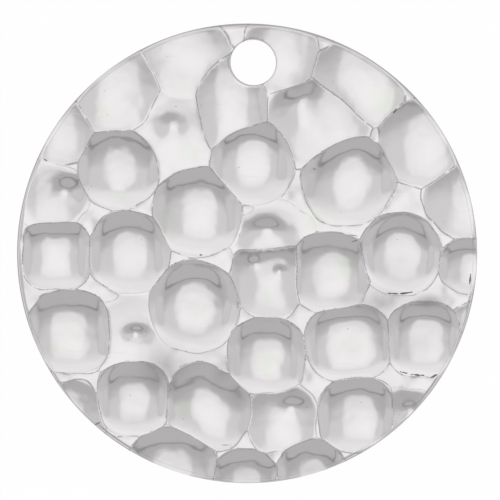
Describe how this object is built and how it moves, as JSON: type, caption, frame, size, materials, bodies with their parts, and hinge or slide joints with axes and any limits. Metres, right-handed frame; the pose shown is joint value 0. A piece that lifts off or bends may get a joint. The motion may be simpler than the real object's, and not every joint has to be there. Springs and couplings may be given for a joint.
{
  "type": "hammered disc pendant",
  "caption": "Round flat metal disc pendant with a hammered face, a rounded rim and a drilled hole near the rim for a jump ring.",
  "frame": {"origin": "middle of the flat back, which rests on the surface", "axes": "+Z out of the hammered face, +Y from the middle towards the hole, +X to the right of the face with the hole at the top"},
  "size_m": [0.025, 0.025, 0.0012],
  "materials": {
    "silver_plate": "bright polished silver plating over a hammered face, with small pits and fine scuffs"
  },
  "bodies": {
    "root": {"disc": "silver_plate"}
  },
  "joints": []
}
